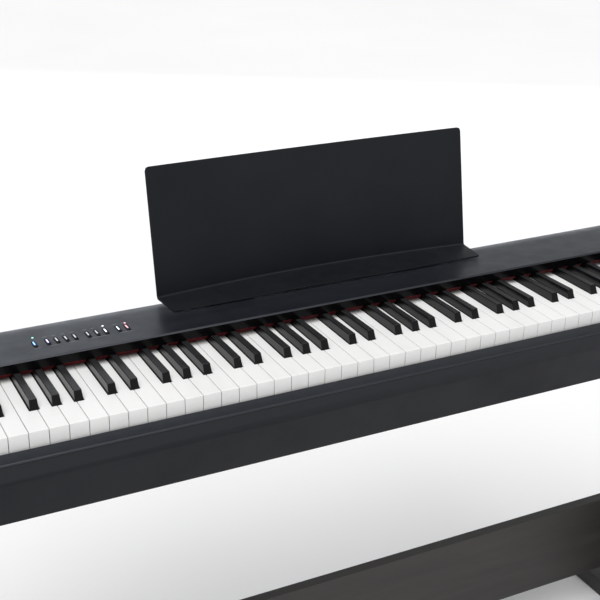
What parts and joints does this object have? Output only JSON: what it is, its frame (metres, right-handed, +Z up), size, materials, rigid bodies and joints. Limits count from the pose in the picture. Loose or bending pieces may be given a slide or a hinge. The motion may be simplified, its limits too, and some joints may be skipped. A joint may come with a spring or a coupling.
{
  "type": "digital piano on stand",
  "caption": "Slab digital piano with a full weighted keyboard, panel buttons and a lift-off music rest, on a fixed board stand.",
  "frame": {"origin": "on the floor, under the middle of the instrument's case", "axes": "+X to the player's right (treble), +Y away from the player, +Z up"},
  "size_m": [1.3, 0.35, 0.9285],
  "materials": {
    "key_white": "satin ivory-white",
    "key_black": "matte grained black",
    "panel": "satin blue-black",
    "case": "satin black",
    "rest": "fine-textured black",
    "red_felt": "wool felt",
    "chassis_steel": "bare zinc grey",
    "circuit_board": "green solder mask",
    "black_rubber": "matte",
    "jack_plastic": "matte",
    "speaker": "cast basket",
    "button": "translucent grey",
    "knob": "matte",
    "stand_board": "black laminated chipboard",
    "stand_metal": "black powder coat"
  },
  "bodies": {
    "cabinet": {"bottom_case": "case", "cheek_block_left": "case", "cheek_block_right": "case", "contact_board": "circuit_board", "contact_rubber": "black_rubber", "headphone_block": "jack_plastic", "jack_panel": "jack_plastic", "key_chassis": "chassis_steel", "key_felt": "red_felt", "key_stop_felt": "red_felt", "keyslip": "case", "main_board": "circuit_board", "panel_board": "circuit_board", "speaker_left": "speaker", "speaker_right": "speaker", "stand_back_board": "stand_board", "stand_bracket_left": "stand_metal", "stand_bracket_right": "stand_metal", "stand_foot_left": "stand_board", "stand_foot_right": "stand_board", "stand_side_left": "stand_board", "stand_side_right": "stand_board", "thumb_screw_1": "knob", "thumb_screw_2": "knob", "thumb_screw_3": "knob", "thumb_screw_4": "knob", "top_panel": "panel"},
    "music_rest": {"music_rest": "rest"},
    "naturals_A0_B1": {"naturals_A0_B1": "key_white"},
    "sharps_A0_B1": {"sharps_A0_B1": "key_black"},
    "naturals_C2_B3": {"naturals_C2_B3": "key_white"},
    "sharps_C2_B3": {"sharps_C2_B3": "key_black"},
    "naturals_C5_B6": {"naturals_C5_B6": "key_white"},
    "sharps_C5_B6": {"sharps_C5_B6": "key_black"},
    "naturals_C7_C8": {"naturals_C7_C8": "key_white"},
    "sharps_C7_C8": {"sharps_C7_C8": "key_black"},
    "key_C4": {"key_C4": "key_white"},
    "key_C4_sharp": {"key_C4_sharp": "key_black"},
    "key_D4": {"key_D4": "key_white"},
    "key_D4_sharp": {"key_D4_sharp": "key_black"},
    "key_E4": {"key_E4": "key_white"},
    "key_F4": {"key_F4": "key_white"},
    "key_F4_sharp": {"key_F4_sharp": "key_black"},
    "key_G4": {"key_G4": "key_white"},
    "key_G4_sharp": {"key_G4_sharp": "key_black"},
    "key_A4": {"key_A4": "key_white"},
    "key_A4_sharp": {"key_A4_sharp": "key_black"},
    "key_B4": {"key_B4": "key_white"},
    "power_button": {"power_button": "button"},
    "panel_button_1": {"panel_button_1": "button"},
    "panel_button_2": {"panel_button_2": "button"},
    "panel_button_3": {"panel_button_3": "button"},
    "panel_button_4": {"panel_button_4": "button"},
    "panel_button_5": {"panel_button_5": "button"},
    "panel_button_6": {"panel_button_6": "button"},
    "panel_button_7": {"panel_button_7": "button"},
    "panel_button_8": {"panel_button_8": "button"},
    "panel_button_9": {"panel_button_9": "button"},
    "panel_button_10": {"panel_button_10": "button"}
  },
  "joints": [
    {"name": "music_rest_lift", "type": "slide", "parent": "cabinet", "child": "music_rest", "axis": [0, 0, 1], "range_m": [0, 0.04]},
    {"name": "naturals_A0_B1_hinge", "type": "hinge", "parent": "cabinet", "child": "naturals_A0_B1", "pos_m": [0, 0.103, 0.717], "axis": [1, 0, 0], "range_deg": [0, 2.55], "stiffness_Nm_per_rad": 9, "springref_deg": -10.03},
    {"name": "sharps_A0_B1_hinge", "type": "hinge", "parent": "cabinet", "child": "sharps_A0_B1", "pos_m": [0, 0.103, 0.717], "axis": [1, 0, 0], "range_deg": [0, 2.55], "stiffness_Nm_per_rad": 4.2, "springref_deg": -10.03},
    {"name": "naturals_C2_B3_hinge", "type": "hinge", "parent": "cabinet", "child": "naturals_C2_B3", "pos_m": [0, 0.103, 0.717], "axis": [1, 0, 0], "range_deg": [0, 2.55], "stiffness_Nm_per_rad": 14, "springref_deg": -10.03},
    {"name": "sharps_C2_B3_hinge", "type": "hinge", "parent": "cabinet", "child": "sharps_C2_B3", "pos_m": [0, 0.103, 0.717], "axis": [1, 0, 0], "range_deg": [0, 2.55], "stiffness_Nm_per_rad": 7, "springref_deg": -10.03},
    {"name": "naturals_C5_B6_hinge", "type": "hinge", "parent": "cabinet", "child": "naturals_C5_B6", "pos_m": [0, 0.103, 0.717], "axis": [1, 0, 0], "range_deg": [0, 2.55], "stiffness_Nm_per_rad": 14, "springref_deg": -10.03},
    {"name": "sharps_C5_B6_hinge", "type": "hinge", "parent": "cabinet", "child": "sharps_C5_B6", "pos_m": [0, 0.103, 0.717], "axis": [1, 0, 0], "range_deg": [0, 2.55], "stiffness_Nm_per_rad": 7, "springref_deg": -10.03},
    {"name": "naturals_C7_C8_hinge", "type": "hinge", "parent": "cabinet", "child": "naturals_C7_C8", "pos_m": [0, 0.103, 0.717], "axis": [1, 0, 0], "range_deg": [0, 2.55], "stiffness_Nm_per_rad": 8, "springref_deg": -10.03},
    {"name": "sharps_C7_C8_hinge", "type": "hinge", "parent": "cabinet", "child": "sharps_C7_C8", "pos_m": [0, 0.103, 0.717], "axis": [1, 0, 0], "range_deg": [0, 2.55], "stiffness_Nm_per_rad": 3.5, "springref_deg": -10.03},
    {"name": "key_C4_hinge", "type": "hinge", "parent": "cabinet", "child": "key_C4", "pos_m": [0, 0.103, 0.717], "axis": [1, 0, 0], "range_deg": [0, 2.55], "stiffness_Nm_per_rad": 1, "springref_deg": -10.03},
    {"name": "key_C4_sharp_hinge", "type": "hinge", "parent": "cabinet", "child": "key_C4_sharp", "pos_m": [0, 0.103, 0.717], "axis": [1, 0, 0], "range_deg": [0, 2.55], "stiffness_Nm_per_rad": 0.7, "springref_deg": -10.03},
    {"name": "key_D4_hinge", "type": "hinge", "parent": "cabinet", "child": "key_D4", "pos_m": [0, 0.103, 0.717], "axis": [1, 0, 0], "range_deg": [0, 2.55], "stiffness_Nm_per_rad": 1, "springref_deg": -10.03},
    {"name": "key_D4_sharp_hinge", "type": "hinge", "parent": "cabinet", "child": "key_D4_sharp", "pos_m": [0, 0.103, 0.717], "axis": [1, 0, 0], "range_deg": [0, 2.55], "stiffness_Nm_per_rad": 0.7, "springref_deg": -10.03},
    {"name": "key_E4_hinge", "type": "hinge", "parent": "cabinet", "child": "key_E4", "pos_m": [0, 0.103, 0.717], "axis": [1, 0, 0], "range_deg": [0, 2.55], "stiffness_Nm_per_rad": 1, "springref_deg": -10.03},
    {"name": "key_F4_hinge", "type": "hinge", "parent": "cabinet", "child": "key_F4", "pos_m": [0, 0.103, 0.717], "axis": [1, 0, 0], "range_deg": [0, 2.55], "stiffness_Nm_per_rad": 1, "springref_deg": -10.03},
    {"name": "key_F4_sharp_hinge", "type": "hinge", "parent": "cabinet", "child": "key_F4_sharp", "pos_m": [0, 0.103, 0.717], "axis": [1, 0, 0], "range_deg": [0, 2.55], "stiffness_Nm_per_rad": 0.7, "springref_deg": -10.03},
    {"name": "key_G4_hinge", "type": "hinge", "parent": "cabinet", "child": "key_G4", "pos_m": [0, 0.103, 0.717], "axis": [1, 0, 0], "range_deg": [0, 2.55], "stiffness_Nm_per_rad": 1, "springref_deg": -10.03},
    {"name": "key_G4_sharp_hinge", "type": "hinge", "parent": "cabinet", "child": "key_G4_sharp", "pos_m": [0, 0.103, 0.717], "axis": [1, 0, 0], "range_deg": [0, 2.55], "stiffness_Nm_per_rad": 0.7, "springref_deg": -10.03},
    {"name": "key_A4_hinge", "type": "hinge", "parent": "cabinet", "child": "key_A4", "pos_m": [0, 0.103, 0.717], "axis": [1, 0, 0], "range_deg": [0, 2.55], "stiffness_Nm_per_rad": 1, "springref_deg": -10.03},
    {"name": "key_A4_sharp_hinge", "type": "hinge", "parent": "cabinet", "child": "key_A4_sharp", "pos_m": [0, 0.103, 0.717], "axis": [1, 0, 0], "range_deg": [0, 2.55], "stiffness_Nm_per_rad": 0.7, "springref_deg": -10.03},
    {"name": "key_B4_hinge", "type": "hinge", "parent": "cabinet", "child": "key_B4", "pos_m": [0, 0.103, 0.717], "axis": [1, 0, 0], "range_deg": [0, 2.55], "stiffness_Nm_per_rad": 1, "springref_deg": -10.03},
    {"name": "power_button_press", "type": "slide", "parent": "cabinet", "child": "power_button", "axis": [0, -0.0523, -0.9986], "range_m": [0, 0.001], "stiffness_N_per_m": 400, "springref_m": -0.0015},
    {"name": "panel_button_1_press", "type": "slide", "parent": "cabinet", "child": "panel_button_1", "axis": [0, -0.0523, -0.9986], "range_m": [0, 0.001], "stiffness_N_per_m": 400, "springref_m": -0.0015},
    {"name": "panel_button_2_press", "type": "slide", "parent": "cabinet", "child": "panel_button_2", "axis": [0, -0.0523, -0.9986], "range_m": [0, 0.001], "stiffness_N_per_m": 400, "springref_m": -0.0015},
    {"name": "panel_button_3_press", "type": "slide", "parent": "cabinet", "child": "panel_button_3", "axis": [0, -0.0523, -0.9986], "range_m": [0, 0.001], "stiffness_N_per_m": 400, "springref_m": -0.0015},
    {"name": "panel_button_4_press", "type": "slide", "parent": "cabinet", "child": "panel_button_4", "axis": [0, -0.0523, -0.9986], "range_m": [0, 0.001], "stiffness_N_per_m": 400, "springref_m": -0.0015},
    {"name": "panel_button_5_press", "type": "slide", "parent": "cabinet", "child": "panel_button_5", "axis": [0, -0.0523, -0.9986], "range_m": [0, 0.001], "stiffness_N_per_m": 400, "springref_m": -0.0015},
    {"name": "panel_button_6_press", "type": "slide", "parent": "cabinet", "child": "panel_button_6", "axis": [0, -0.0523, -0.9986], "range_m": [0, 0.001], "stiffness_N_per_m": 400, "springref_m": -0.0015},
    {"name": "panel_button_7_press", "type": "slide", "parent": "cabinet", "child": "panel_button_7", "axis": [0, -0.0523, -0.9986], "range_m": [0, 0.001], "stiffness_N_per_m": 400, "springref_m": -0.0015},
    {"name": "panel_button_8_press", "type": "slide", "parent": "cabinet", "child": "panel_button_8", "axis": [0, -0.0523, -0.9986], "range_m": [0, 0.001], "stiffness_N_per_m": 400, "springref_m": -0.0015},
    {"name": "panel_button_9_press", "type": "slide", "parent": "cabinet", "child": "panel_button_9", "axis": [0, -0.0523, -0.9986], "range_m": [0, 0.001], "stiffness_N_per_m": 400, "springref_m": -0.0015},
    {"name": "panel_button_10_press", "type": "slide", "parent": "cabinet", "child": "panel_button_10", "axis": [0, -0.0523, -0.9986], "range_m": [0, 0.001], "stiffness_N_per_m": 400, "springref_m": -0.0015}
  ]
}
